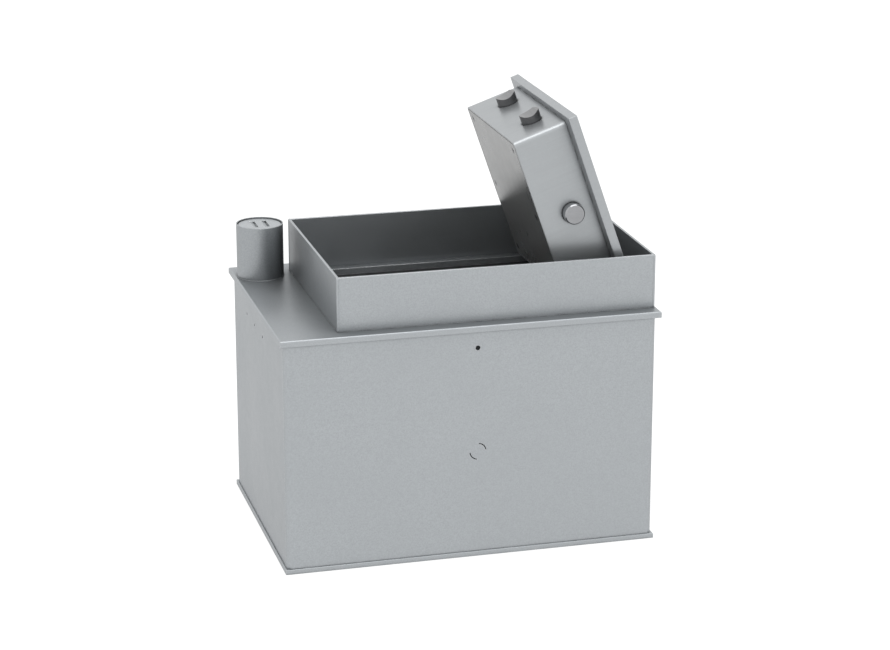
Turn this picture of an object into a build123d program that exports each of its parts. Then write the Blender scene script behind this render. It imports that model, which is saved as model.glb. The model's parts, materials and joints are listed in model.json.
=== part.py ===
from build123d import *
from math import cos, radians, sin
import os

# Underfloor cash box: a welded steel body with a collar round its doorway, a deposit
# tube beside the collar and a hinged bolt-work door that stands open in the collar.
# X runs along the box, Y from front to rear, Z up; the origin is the middle of the underside.

# ---- driving dimensions (mm) ----
body_length = 460.0
body_depth = 316.0
body_height = 280.0
wall = 3.0
bend_radius = 7.0

base_thickness = 6.0
base_lip = 2.0
top_thickness = 8.0
top_lip = 5.0
top_z = base_thickness + body_height + top_thickness

collar_left, collar_right = -162.0, 232.0
collar_front, collar_rear = -143.5, 134.1
collar_height = 66.5
collar_sheet = 3.0

tube_x, tube_y = -202.0, 119.0
tube_radius = 29.5
tube_wall = 1.5
tube_height = 68.0
lid_recess = 1.6
lid_thickness = 7.0

door_tilt = 70.74                # how far the door stands open
door_mid_y = -4.7
hinge_x, hinge_z = 223.0, 299.5  # hinge axis, parallel to Y
knuckle_radius = 5.0
hinge_pin_radius = 2.5
hinge_offsets = (-78.0, 78.0)    # middle of each hinge, measured from the door's centre line

door_length = 245.1
door_width = 245.0
door_thickness = 11.0
door_inset = 5.5                 # hinge axis to the door's hinged edge, along and outward
door_gap = 1.5                   # door edge to doorway
free_edge_gap = 9.6              # room for the bolt tips as the door swings shut
seat_overlap = 5.0               # how much of the door's edge lands on the seat

casing_width = 207.0
casing_depth = 68.7
casing_inset = 8.0               # door's free end to casing
casing_start = 36.0              # hinge axis to casing
casing_sheet = 2.0
casing_bend = 6.0

bolt_radius = 12.5
bolt_drop = 28.0                 # door's inner face to bolt centre line
end_bolt_offset = 51.0
side_bolt_from_free_end = 117.0
end_bolt_reach = 12.5            # bolt tip past the casing
side_bolt_reach = 13.0
tip_hollow = 2.6                 # depth of the hollow beside an end bolt's lip
bolt_throw_per_radian = 8.9
bolt_clearance = 0.4

# ---- levels measured outward from the hinge axis, square to the door ----
outer_face = -door_inset
inner_face = outer_face - door_thickness
cover_face = inner_face - casing_depth
bolt_axis = inner_face - bolt_drop

# ---- distances measured from the hinge axis towards the door's free end ----
door_start = door_inset
door_end = door_start + door_length
casing_end = door_end - casing_inset
cam_at = door_end - side_bolt_from_free_end

along = Vector(-cos(radians(door_tilt)), 0, sin(radians(door_tilt)))
outward = Vector(sin(radians(door_tilt)), 0, cos(radians(door_tilt)))
to_front = Vector(0, -1, 0)
door_axis = Axis((hinge_x, door_mid_y, hinge_z), tuple(outward))

# ---- the doorway in the top plate, and the seat under it ----
doorway_left = -117.0
doorway_right = hinge_x - door_start + door_gap
doorway_width = door_width + 2 * door_gap
strike_edge = hinge_x - door_end - free_edge_gap
underside_z = top_z - top_thickness
seat_z = hinge_z + inner_face
strike_z = hinge_z + bolt_axis + bolt_radius + 0.5
frame_width = 17.0


def door_point(distance, sideways, level):
    """A point on the door: distance from the hinge axis, to the front, and outward."""
    middle = Vector(hinge_x, door_mid_y, hinge_z)
    return middle + along * distance + to_front * sideways + outward * level


def door_plane(level):
    """A plane parallel to the door's faces; local x runs to the free end, local y to the front."""
    return Plane(origin=door_point(0, 0, level), x_dir=along, z_dir=outward)


def cross_plane(distance):
    """A plane across the door, facing its free end; local x runs to the front, local y outward."""
    return Plane(origin=door_point(distance, 0, 0), x_dir=to_front, z_dir=along)


def side_plane(sideways):
    """A plane along the door, facing the front; local x runs to the free end, local y inward."""
    return Plane(origin=door_point(0, sideways, 0), x_dir=along, z_dir=to_front)


def save(piece, name):
    piece.part.label = name
    export_step(piece.part, f"parts/{name}.step")


os.makedirs("parts", exist_ok=True)

# ================= body =================

with BuildPart() as base_plate:
    with BuildSketch():
        Rectangle(body_length + 2 * base_lip, body_depth + 2 * base_lip)
    extrude(amount=base_thickness)
    fillet(base_plate.edges().group_by(Axis.Z)[-1], 1.0)
save(base_plate, "base_plate")


def wall_ring():
    """The body's bent sheet seen from above."""
    RectangleRounded(body_length, body_depth, bend_radius)
    RectangleRounded(body_length - 2 * wall, body_depth - 2 * wall, bend_radius - wall, mode=Mode.SUBTRACT)


cable_hole_radius = 3.0
cable_hole_at = (6.0, 265.5)
knockout_at = (6.5, 134.5)
knockout_radius = 10.0
knockout_cut = 1.3
plug_hole_radius = 2.0
plug_hole_spacing = 49.2
plug_hole_mid = (19.0, 259.6)

side_length = body_depth - 2 * bend_radius

# the front sheet turns both front corners; it has the cable hole and an uncut knock-out
with BuildPart() as front_panel:
    with BuildSketch(Plane.XY.offset(base_thickness)):
        wall_ring()
        with Locations((0, bend_radius)):
            Rectangle(body_length, body_depth, mode=Mode.SUBTRACT)
    extrude(amount=body_height)
    with BuildSketch(Plane.XZ.offset(body_depth / 2)):
        with Locations(cable_hole_at):
            Circle(cable_hole_radius)
        with Locations(knockout_at):
            Circle(knockout_radius + knockout_cut / 2)
            Circle(knockout_radius - knockout_cut / 2, mode=Mode.SUBTRACT)
        tie = knockout_radius - knockout_cut
        for side in (-1, 1):
            with Locations((knockout_at[0] + side * tie, knockout_at[1] - side * tie)):
                Rectangle(2 * knockout_radius, 2 * knockout_radius, mode=Mode.SUBTRACT)
    extrude(amount=-wall, mode=Mode.SUBTRACT)
save(front_panel, "front_panel")

# the rear sheet turns both rear corners
with BuildPart() as rear_panel:
    with BuildSketch(Plane.XY.offset(base_thickness)):
        wall_ring()
        with Locations((0, -bend_radius)):
            Rectangle(body_length, body_depth, mode=Mode.SUBTRACT)
    extrude(amount=body_height)
save(rear_panel, "rear_panel")

# flat sides, butt-welded between the bent sheets; the left one has three plug-weld holes
for name, side in (("left_side", -1), ("right_side", 1)):
    with BuildPart() as side_sheet:
        with BuildSketch(Plane.XY.offset(base_thickness)):
            with Locations((side * (body_length - wall) / 2, 0)):
                Rectangle(wall, side_length)
        extrude(amount=body_height)
        if name == "left_side":
            with BuildSketch(Plane.YZ.offset(-body_length / 2)):
                with Locations(plug_hole_mid):
                    with GridLocations(plug_hole_spacing, 0, 3, 1):
                        Circle(plug_hole_radius)
            extrude(amount=wall, mode=Mode.SUBTRACT)
    save(side_sheet, name)

with BuildPart() as top_plate:
    with BuildSketch(Plane.XY.offset(underside_z)):
        Rectangle(body_length + 2 * top_lip, body_depth + 2 * top_lip)
    extrude(amount=top_thickness)
    fillet(top_plate.edges().group_by(Axis.Z)[-1], 2.0)
    fillet(top_plate.edges().group_by(Axis.Z)[0], 1.0)
    with BuildSketch(Plane.XY.offset(underside_z)):
        with Locations(((doorway_left + doorway_right) / 2, door_mid_y)):
            Rectangle(doorway_right - doorway_left, doorway_width)
        with Locations((tube_x, tube_y)):
            Circle(tube_radius - tube_wall - 0.7)
    extrude(amount=top_thickness, mode=Mode.SUBTRACT)
save(top_plate, "top_plate")

# four flat strips stand on the top plate, the long ones lapping the ends of the short ones
collar_length = collar_right - collar_left
collar_mid_x = (collar_left + collar_right) / 2
collar_mid_y = (collar_front + collar_rear) / 2
side_strip_length = collar_rear - collar_front - 2 * collar_sheet
collar_strips = {
    "collar_front": (collar_mid_x, collar_front + collar_sheet / 2, collar_length, collar_sheet),
    "collar_rear": (collar_mid_x, collar_rear - collar_sheet / 2, collar_length, collar_sheet),
    "collar_left": (collar_left + collar_sheet / 2, collar_mid_y, collar_sheet, side_strip_length),
    "collar_right": (collar_right - collar_sheet / 2, collar_mid_y, collar_sheet, side_strip_length),
}
for name, (x, y, length, depth) in collar_strips.items():
    with BuildPart() as strip:
        with BuildSketch(Plane.XY.offset(top_z)):
            with Locations((x, y)):
                Rectangle(length, depth)
        extrude(amount=collar_height)
        fillet(strip.edges().group_by(Axis.Z)[-1], 0.5)
    save(strip, name)

# ================= door frame under the top plate =================

frame_left = doorway_left - frame_width
frame_right = body_length / 2 - wall
seat_lip = seat_overlap + door_gap

# front and rear bars: a rebate lets the door's edge down to the seat
for name, side in (("frame_bar_front", -1), ("frame_bar_rear", 1)):
    edge_y = door_mid_y + side * doorway_width / 2
    with BuildPart() as bar:
        with BuildSketch(Plane.YZ.offset(frame_left)):
            with BuildLine():
                Polyline(
                    (edge_y + side * frame_width, strike_z),
                    (edge_y - side * seat_lip, strike_z),
                    (edge_y - side * seat_lip, seat_z),
                    (edge_y, seat_z),
                    (edge_y, underside_z),
                    (edge_y + side * frame_width, underside_z),
                    close=True,
                )
            make_face()
        extrude(amount=frame_right - frame_left)
    save(bar, name)

seat_clear_width = doorway_width - 2 * seat_lip

# hinge-side bar: the same rebate turned across the doorway
with BuildPart() as frame_bar_hinge:
    with BuildSketch(Plane.XZ.offset(-door_mid_y)):
        with BuildLine():
            Polyline(
                (frame_right, strike_z),
                (doorway_right - seat_lip, strike_z),
                (doorway_right - seat_lip, seat_z),
                (doorway_right, seat_z),
                (doorway_right, underside_z),
                (frame_right, underside_z),
                close=True,
            )
        make_face()
    extrude(amount=seat_clear_width / 2, both=True)
save(frame_bar_hinge, "frame_bar_hinge")

with BuildPart() as frame_bar_left:
    with BuildSketch(Plane.XY.offset(strike_z)):
        with Locations((doorway_left - frame_width / 2, door_mid_y)):
            Rectangle(frame_width, seat_clear_width)
    extrude(amount=underside_z - strike_z)
save(frame_bar_left, "frame_bar_left")

# a sunk fixed panel closes the doorway beyond the door's free end
fixed_panel_thickness = 6.0
strike_bar_height = 5.0
strike_bar_width = 24.0
with BuildPart() as fixed_panel:
    with BuildSketch(Plane.XY.offset(strike_z + strike_bar_height)):
        with Locations(((doorway_left + strike_edge) / 2, door_mid_y)):
            Rectangle(strike_edge - doorway_left, seat_clear_width)
    extrude(amount=fixed_panel_thickness)
save(fixed_panel, "fixed_panel")

# the end bolts lock under this bar
with BuildPart() as strike_bar:
    with BuildSketch(Plane.XY.offset(strike_z)):
        with Locations((strike_edge - strike_bar_width / 2, door_mid_y)):
            Rectangle(strike_bar_width, seat_clear_width)
    extrude(amount=strike_bar_height)
save(strike_bar, "strike_bar")

# ================= deposit tube and chute =================

tube_bore = tube_radius - tube_wall
lid_top_z = top_z + tube_height - lid_recess
lid_seat_height = 4.0

with BuildPart() as deposit_tube:
    with BuildSketch(Plane.XY.offset(top_z)):
        with Locations((tube_x, tube_y)):
            Circle(tube_radius)
            Circle(tube_bore, mode=Mode.SUBTRACT)
    extrude(amount=tube_height)
    fillet(deposit_tube.edges().group_by(Axis.Z)[-1], 0.4)
save(deposit_tube, "deposit_tube")

with BuildPart() as lid_seat_ring:
    with BuildSketch(Plane.XY.offset(lid_top_z - lid_thickness - lid_seat_height)):
        with Locations((tube_x, tube_y)):
            Circle(tube_bore)
            Circle(tube_bore - 3.5, mode=Mode.SUBTRACT)
    extrude(amount=lid_seat_height)
save(lid_seat_ring, "lid_seat_ring")

# lift-out lid with two finger slots whose floors slope down to the right
lid_radius = tube_bore - 0.8
finger_slot_length = 29.0
finger_slot_width = 7.0
finger_slot_offset = 7.2
finger_slot_depth = 2.6
with BuildPart() as tube_lid:
    with BuildSketch(Plane.XY.offset(lid_top_z - lid_thickness)):
        with Locations((tube_x, tube_y)):
            Circle(lid_radius)
    extrude(amount=lid_thickness)
    fillet(tube_lid.edges().group_by(Axis.Z)[-1], 0.8)
    with BuildSketch(Plane.XZ.offset(-tube_y)):
        for side in (-1, 1):
            left = tube_x + side * finger_slot_offset - finger_slot_width / 2
            with BuildLine():
                Polyline(
                    (left, lid_top_z),
                    (left + finger_slot_width, lid_top_z - finger_slot_depth),
                    (left + finger_slot_width, lid_top_z),
                    close=True,
                )
            make_face()
    extrude(amount=finger_slot_length / 2, both=True, mode=Mode.SUBTRACT)
save(tube_lid, "tube_lid")

# bent sheet under the tube that turns deposits inward and blocks a hand or hook from above;
# its flange is plug-welded through three holes in the left wall
chute_sheet = 2.0
chute_top_z, chute_bend_z = 278.0, 240.0
chute_tip = (-140.0, 150.0)
chute_front_y, chute_rear_y = -50.0, 150.0
flange_x = -body_length / 2 + wall
with BuildPart() as deposit_chute:
    with BuildSketch(Plane.XZ.offset(-chute_rear_y)):
        with BuildLine():
            Polyline(
                (flange_x, chute_top_z),
                (flange_x, chute_bend_z),
                (chute_tip[0], chute_tip[1]),
                (chute_tip[0] + chute_sheet, chute_tip[1] + chute_sheet),
                (flange_x + chute_sheet, chute_bend_z + chute_sheet / 2),
                (flange_x + chute_sheet, chute_top_z),
                close=True,
            )
        make_face()
    extrude(amount=chute_rear_y - chute_front_y)
save(deposit_chute, "deposit_chute")

# ================= hinges =================

knuckle_length = 13.0
knuckle_gap = 0.3
hinge_width = 3 * knuckle_length + 2 * knuckle_gap
pin_bore = hinge_pin_radius + 0.05
foot_left = doorway_right + 0.5
foot_right = collar_right - collar_sheet - 0.4
hinge_axis_plane = Plane(origin=(hinge_x, door_mid_y, hinge_z), x_dir=(1, 0, 0), z_dir=(0, -1, 0))

# each hinge has two fixed knuckles on a foot welded to the top plate
with BuildPart() as hinge_brackets:
    for offset_y in hinge_offsets:
        for side in (-1, 1):
            start = offset_y + side * (knuckle_length + knuckle_gap) - knuckle_length / 2
            with BuildSketch(hinge_axis_plane.offset(start)):
                with BuildLine():
                    Polyline(
                        (foot_left - hinge_x, top_z - hinge_z),
                        (foot_right - hinge_x, top_z - hinge_z),
                        (foot_right - hinge_x, 0),
                        (foot_left - hinge_x, 0),
                        close=True,
                    )
                make_face()
                Circle(knuckle_radius)
                Circle(hinge_pin_radius, mode=Mode.SUBTRACT)
            extrude(amount=knuckle_length)
save(hinge_brackets, "hinge_brackets")

with BuildPart() as hinge_pins:
    for offset_y in hinge_offsets:
        with BuildSketch(hinge_axis_plane.offset(offset_y - hinge_width / 2 - 1)):
            Circle(hinge_pin_radius)
        extrude(amount=hinge_width + 2)
save(hinge_pins, "hinge_pins")

# the moving knuckle is the rolled end of a strap on the door's outer face
strap_length = 42.0
strap_thickness = 3.0
with BuildPart() as hinge_straps:
    for offset_y in hinge_offsets:
        start = offset_y - knuckle_length / 2
        with BuildSketch(side_plane(start)):
            Circle(knuckle_radius)
            with Locations((strap_length / 2, door_inset - strap_thickness / 2)):
                Rectangle(strap_length, strap_thickness)
            Circle(pin_bore, mode=Mode.SUBTRACT)
        extrude(amount=knuckle_length)
save(hinge_straps, "hinge_straps")

# ================= door =================

spindle_radius = 6.0
spindle_fit = 0.03               # play between the spindle and what is pinned to it
bush_radius = 9.0
key_at = 68.0
keyhole_radius = 4.0

with BuildPart() as door_plate:
    with BuildSketch(door_plane(inner_face)):
        with Locations(((door_start + door_end) / 2, 0)):
            Rectangle(door_length, door_width)
    extrude(amount=door_thickness)
    fillet(door_plate.edges(), 0.6)
    with BuildSketch(door_plane(inner_face)):
        with Locations((cam_at, 0)):
            Circle(bush_radius)
        with Locations((key_at, 0)):
            Circle(keyhole_radius)
            Rectangle(4 * keyhole_radius, keyhole_radius)
    extrude(amount=door_thickness, mode=Mode.SUBTRACT)
save(door_plate, "door_plate")

casing_length = casing_end - casing_start
casing_mid = (casing_start + casing_end) / 2
bolt_hole_radius = bolt_radius + bolt_clearance

# four bent sides welded to the door, with a hole for each bolt
with BuildPart() as bolt_casing:
    with BuildSketch(door_plane(cover_face)):
        with Locations((casing_mid, 0)):
            RectangleRounded(casing_length, casing_width, casing_bend)
            RectangleRounded(
                casing_length - 2 * casing_sheet,
                casing_width - 2 * casing_sheet,
                casing_bend - casing_sheet,
                mode=Mode.SUBTRACT,
            )
    extrude(amount=casing_depth)
    with BuildSketch(cross_plane(casing_end)):
        with Locations((-end_bolt_offset, bolt_axis), (end_bolt_offset, bolt_axis)):
            Circle(bolt_hole_radius)
    extrude(amount=-casing_sheet, mode=Mode.SUBTRACT)
    with BuildSketch(side_plane(0)):
        with Locations((cam_at, -bolt_axis)):
            Circle(bolt_hole_radius)
    extrude(amount=casing_width / 2, both=True, mode=Mode.SUBTRACT)
save(bolt_casing, "bolt_casing")

# flat cover let into the casing's open side, held by six countersunk screws
cover_gap = 0.8
cover_length = casing_length - 2 * (casing_sheet + cover_gap)
cover_width = casing_width - 2 * (casing_sheet + cover_gap)
cover_sheet = 2.0
screw_rows = 3
screw_spacing = (90.0, 176.0)
screw_radius = 2.0
screw_head_radius = 3.8
access_slot = (8.0, 2.4)
access_slot_at = 91.0
with BuildPart() as inner_cover:
    with BuildSketch(door_plane(cover_face)):
        with Locations((casing_mid, 0)):
            RectangleRounded(cover_length, cover_width, casing_bend - casing_sheet)
            with GridLocations(*screw_spacing, screw_rows, 2):
                Circle(screw_radius + 0.2, mode=Mode.SUBTRACT)
        with Locations((access_slot_at, 0)):
            SlotOverall(*access_slot, mode=Mode.SUBTRACT)
    extrude(amount=cover_sheet)
    with BuildSketch(door_plane(cover_face)):
        with Locations((casing_mid, 0)):
            with GridLocations(*screw_spacing, screw_rows, 2):
                Circle(screw_head_radius + 0.2)
    extrude(amount=screw_head_radius - screw_radius, taper=45, mode=Mode.SUBTRACT)
save(inner_cover, "inner_cover")

screw_length = 10.0
hex_socket = 2.5
with BuildPart() as cover_screws:
    with BuildSketch(door_plane(cover_face)):
        with Locations((casing_mid, 0)):
            with GridLocations(*screw_spacing, screw_rows, 2):
                Circle(screw_head_radius)
    extrude(amount=screw_head_radius - screw_radius, taper=45)
    with BuildSketch(door_plane(cover_face + screw_head_radius - screw_radius)):
        with Locations((casing_mid, 0)):
            with GridLocations(*screw_spacing, screw_rows, 2):
                Circle(screw_radius)
    extrude(amount=screw_length)
    with BuildSketch(door_plane(cover_face)):
        with Locations((casing_mid, 0)):
            with GridLocations(*screw_spacing, screw_rows, 2):
                RegularPolygon(hex_socket / 2, 6, major_radius=False)
    extrude(amount=1.5, mode=Mode.SUBTRACT)
save(cover_screws, "cover_screws")

# welded blocks that the cover screws bite into
block_size = 12.0
block_height = 14.0
with BuildPart() as cover_blocks:
    with BuildSketch(door_plane(cover_face + cover_sheet)):
        with Locations((casing_mid, 0)):
            with GridLocations(screw_spacing[0], cover_width - block_size, screw_rows, 2):
                Rectangle(block_size, block_size + 2 * cover_gap)
            with GridLocations(*screw_spacing, screw_rows, 2):
                Circle(block_size / 2)
                Circle(screw_radius, mode=Mode.SUBTRACT)
    extrude(amount=block_height)
save(cover_blocks, "cover_blocks")

# bushes that guide the bolts through the casing's walls
guide_length = 12.0
guide_wall = 3.0
bushing_radius = bolt_radius + 0.35
with BuildPart() as end_bolt_guides:
    with BuildSketch(cross_plane(casing_end - casing_sheet - guide_length)):
        with Locations((-end_bolt_offset, bolt_axis), (end_bolt_offset, bolt_axis)):
            Circle(bolt_radius + guide_wall)
            Circle(bushing_radius, mode=Mode.SUBTRACT)
    extrude(amount=guide_length)
save(end_bolt_guides, "end_bolt_guides")

with BuildPart() as side_bolt_guides:
    for side in (-1, 1):
        near = side * (casing_width / 2 - casing_sheet)
        with BuildSketch(side_plane(near)):
            with Locations((cam_at, -bolt_axis)):
                Circle(bolt_radius + guide_wall)
                Circle(bushing_radius, mode=Mode.SUBTRACT)
        extrude(amount=-side * guide_length)
save(side_bolt_guides, "side_bolt_guides")

# ================= handle, spindle and cam =================

cam_top = inner_face - 7.5
cam_thickness = 4.0
cam_radius = 31.0
cam_pin_start = 12.0
cam_pin_radius = 3.0
cam_slot_width = 2 * cam_pin_radius + 0.6
bush_bore = spindle_radius + 0.05

with BuildPart() as spindle_bush:
    with BuildSketch(door_plane(inner_face - 2.5)):
        with Locations((cam_at, 0)):
            Circle(bush_radius + 3)
    extrude(amount=2.5)
    with BuildSketch(door_plane(inner_face)):
        with Locations((cam_at, 0)):
            Circle(bush_radius)
    extrude(amount=door_thickness)
    with BuildSketch(door_plane(inner_face - 2.5)):
        with Locations((cam_at, 0)):
            Circle(bush_bore)
    extrude(amount=door_thickness + 2.5, mode=Mode.SUBTRACT)
save(spindle_bush, "spindle_bush")

hub_radius = 15.0
hub_height = 5.0
grip_height = 9.0
grip_length = 74.0
grip_width = 11.0
hub_base = outer_face + 0.4

# low T-handle: a round hub with a rounded grip bar across it
with BuildPart() as door_handle:
    with BuildSketch(door_plane(hub_base)):
        with Locations((cam_at, 0)):
            Circle(hub_radius)
            Circle(spindle_radius + spindle_fit, mode=Mode.SUBTRACT)
    extrude(amount=hub_height)
    with BuildSketch(door_plane(hub_base + hub_height)):
        with Locations((cam_at, 0)):
            SlotOverall(grip_length, grip_width)
    extrude(amount=grip_height)
    fillet(door_handle.edges().group_by(door_axis)[-1], 3.0)
save(door_handle, "door_handle")

with BuildPart() as handle_spindle:
    with BuildSketch(door_plane(cam_top - cam_thickness)):
        with Locations((cam_at, 0)):
            Circle(spindle_radius)
    extrude(amount=hub_base + hub_height - cam_top + cam_thickness)
save(handle_spindle, "handle_spindle")

with BuildPart() as spindle_collar:
    with BuildSketch(door_plane(cam_top)):
        with Locations((cam_at, 0)):
            Circle(spindle_radius + 2)
            Circle(spindle_radius + spindle_fit, mode=Mode.SUBTRACT)
    extrude(amount=inner_face - 2.8 - cam_top)
save(spindle_collar, "spindle_collar")

# three spiral slots push the bolt bars out evenly as the cam turns a quarter;
# each is two arcs through points of the spiral, with round ends
slot_start, slot_end = -2.0, 92.0


def spiral_point(bar_angle, turn):
    """Where a bar's pin sits in the disc after the cam has turned this far, in degrees."""
    reach = cam_pin_start + bolt_throw_per_radian * radians(turn)
    angle = radians(bar_angle - turn)
    return (cam_at + reach * cos(angle), reach * sin(angle))


with BuildPart() as cam_disc:
    with BuildSketch(door_plane(cam_top - cam_thickness)):
        with Locations((cam_at, 0)):
            Circle(cam_radius)
            Circle(spindle_radius + spindle_fit, mode=Mode.SUBTRACT)
    extrude(amount=cam_thickness)
    quarter = (slot_end - slot_start) / 4
    for bar_angle in (0, 90, -90):
        for first in (slot_start, slot_start + 2 * quarter):
            turns = (first, first + quarter, first + 2 * quarter)
            with BuildSketch(door_plane(cam_top - cam_thickness)):
                with BuildLine() as slot_path:
                    ThreePointArc(*[spiral_point(bar_angle, turn) for turn in turns])
                SlotArc(slot_path.line.edge(), cam_slot_width)
            extrude(amount=cam_thickness, mode=Mode.SUBTRACT)
save(cam_disc, "cam_disc")

# ================= bolts =================

bar_top = cam_top - cam_thickness - 1.0
bar_thickness = 4.0
bar_width = 12.0
pin_top = cam_top + 0.6
carriage_at = 176.0
carriage_thickness = 6.0
carriage_depth = bolt_axis - bolt_radius

# cross bar behind both end bolts, with a tongue to the cam
with BuildPart() as end_bolt_carriage:
    with BuildSketch(door_plane(carriage_depth)):
        with Locations((carriage_at + carriage_thickness / 2, 0)):
            Rectangle(carriage_thickness, 2 * (end_bolt_offset + bolt_radius))
    extrude(amount=bar_top - carriage_depth)
    tongue_start = cam_at + cam_pin_start - cam_pin_radius - 1.5
    with BuildSketch(door_plane(bar_top - bar_thickness)):
        with Locations(((tongue_start + carriage_at) / 2, 0)):
            Rectangle(carriage_at - tongue_start, bar_width)
    extrude(amount=bar_thickness)
    with BuildSketch(door_plane(bar_top)):
        with Locations((cam_at + cam_pin_start, 0)):
            Circle(cam_pin_radius)
    extrude(amount=pin_top - bar_top)
save(end_bolt_carriage, "end_bolt_carriage")

# round end bolts with a hollow milled across each tip, which leaves a narrow lip towards the door plate
end_bolt_start = carriage_at + carriage_thickness
with BuildPart() as end_bolts:
    for offset_y in (-end_bolt_offset, end_bolt_offset):
        with BuildSketch(cross_plane(end_bolt_start)):
            with Locations((offset_y, bolt_axis)):
                Circle(bolt_radius)
        extrude(amount=casing_end + end_bolt_reach - end_bolt_start)
        tip = casing_end + end_bolt_reach
        with BuildSketch(side_plane(offset_y)):
            with BuildLine():
                lip_level = -bolt_axis - bolt_radius + 4.0
                foot_level = -bolt_axis + bolt_radius + 1
                hollow = ThreePointArc(
                    (tip, lip_level),
                    (tip - tip_hollow, lip_level + 6.0),
                    (tip - 0.6, foot_level),
                )
                Line(hollow @ 1, (tip + 1, foot_level))
                Line((tip + 1, foot_level), (tip + 1, lip_level))
                Line((tip + 1, lip_level), hollow @ 0)
            make_face()
        extrude(amount=bolt_radius + 1, both=True, mode=Mode.SUBTRACT)
save(end_bolts, "end_bolts")

# one round bolt on each side, with its own flat bar to the cam
side_bar_start = cam_pin_start - cam_pin_radius - 1.5
side_bolt_start = 70.0
foot_thickness = 4.0
for name, side in (("front", 1), ("rear", -1)):
    with BuildPart() as drive_bar:
        with BuildSketch(door_plane(bar_top - bar_thickness)):
            with Locations((cam_at, side * (side_bar_start + side_bolt_start) / 2)):
                Rectangle(bar_width, side_bolt_start - side_bar_start)
        extrude(amount=bar_thickness)
        with BuildSketch(door_plane(carriage_depth)):
            with Locations((cam_at, side * (side_bolt_start - foot_thickness / 2))):
                Rectangle(2 * bolt_radius, foot_thickness)
        extrude(amount=bar_top - carriage_depth)
        with BuildSketch(door_plane(bar_top)):
            with Locations((cam_at, side * cam_pin_start)):
                Circle(cam_pin_radius)
        extrude(amount=pin_top - bar_top)
    save(drive_bar, f"{name}_drive_bar")
    with BuildPart() as side_bolt:
        with BuildSketch(side_plane(side * side_bolt_start)):
            with Locations((cam_at, -bolt_axis)):
                Circle(bolt_radius)
        extrude(amount=side * (casing_width / 2 + side_bolt_reach - side_bolt_start))
        tip_edge = side_bolt.edges().sort_by(Axis.Y)[0 if side > 0 else -1]
        chamfer(tip_edge, 1.2)
    save(side_bolt, f"{name}_side_bolt")

# ================= lock =================

lock_length = 44.0
lock_width = 46.0
lock_depth = 17.0
lock_mid = 70.0
with BuildPart() as lock_case:
    with BuildSketch(door_plane(inner_face - lock_depth)):
        with Locations((lock_mid, 0)):
            RectangleRounded(lock_length, lock_width, 3.0)
    extrude(amount=lock_depth)
    with BuildSketch(door_plane(inner_face)):
        with Locations((key_at, 0)):
            Circle(keyhole_radius)
            Rectangle(4 * keyhole_radius, keyhole_radius)
    extrude(amount=-8.0, mode=Mode.SUBTRACT)
save(lock_case, "lock_case")

# fixing screws through the lock case's corners into the door
lock_screw_spacing = (32.0, 34.0)
with BuildPart() as lock_screws:
    with BuildSketch(door_plane(inner_face - lock_depth - 2.4)):
        with Locations((lock_mid, 0)):
            with GridLocations(*lock_screw_spacing, 2, 2):
                Circle(3.5)
                RegularPolygon(hex_socket / 2, 6, major_radius=False, mode=Mode.SUBTRACT)
    extrude(amount=2.4)
save(lock_screws, "lock_screws")

escutcheon_thickness = 2.0
with BuildPart() as keyhole_plate:
    with BuildSketch(door_plane(outer_face)):
        with Locations((key_at, 0)):
            Circle(13.0)
            Circle(keyhole_radius, mode=Mode.SUBTRACT)
            Rectangle(4 * keyhole_radius, keyhole_radius, mode=Mode.SUBTRACT)
    extrude(amount=escutcheon_thickness)
save(keyhole_plate, "keyhole_plate")

# swing cover that hangs over the keyhole from a rivet
flap_pivot = 9.5
flap_thickness = 1.5
flap_base = outer_face + escutcheon_thickness + 0.3
rivet_radius = 1.5
with BuildPart() as keyhole_flap:
    with BuildSketch(door_plane(flap_base)):
        with Locations((key_at, 0)):
            SlotCenterToCenter(2 * flap_pivot, 7.0)
            Circle(8.2)
            with Locations((flap_pivot, 0)):
                Circle(rivet_radius + 0.05, mode=Mode.SUBTRACT)
    extrude(amount=flap_thickness)
save(keyhole_flap, "keyhole_flap")

with BuildPart() as flap_rivet:
    with BuildSketch(door_plane(outer_face + escutcheon_thickness)):
        with Locations((key_at + flap_pivot, 0)):
            Circle(rivet_radius)
    extrude(amount=0.3 + flap_thickness + 0.2)
    with BuildSketch(door_plane(flap_base + flap_thickness + 0.2)):
        with Locations((key_at + flap_pivot, 0)):
            Circle(2.8)
    extrude(amount=1.0)
save(flap_rivet, "flap_rivet")
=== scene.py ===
import bpy
import json
import math
from mathutils import Matrix, Vector


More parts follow.
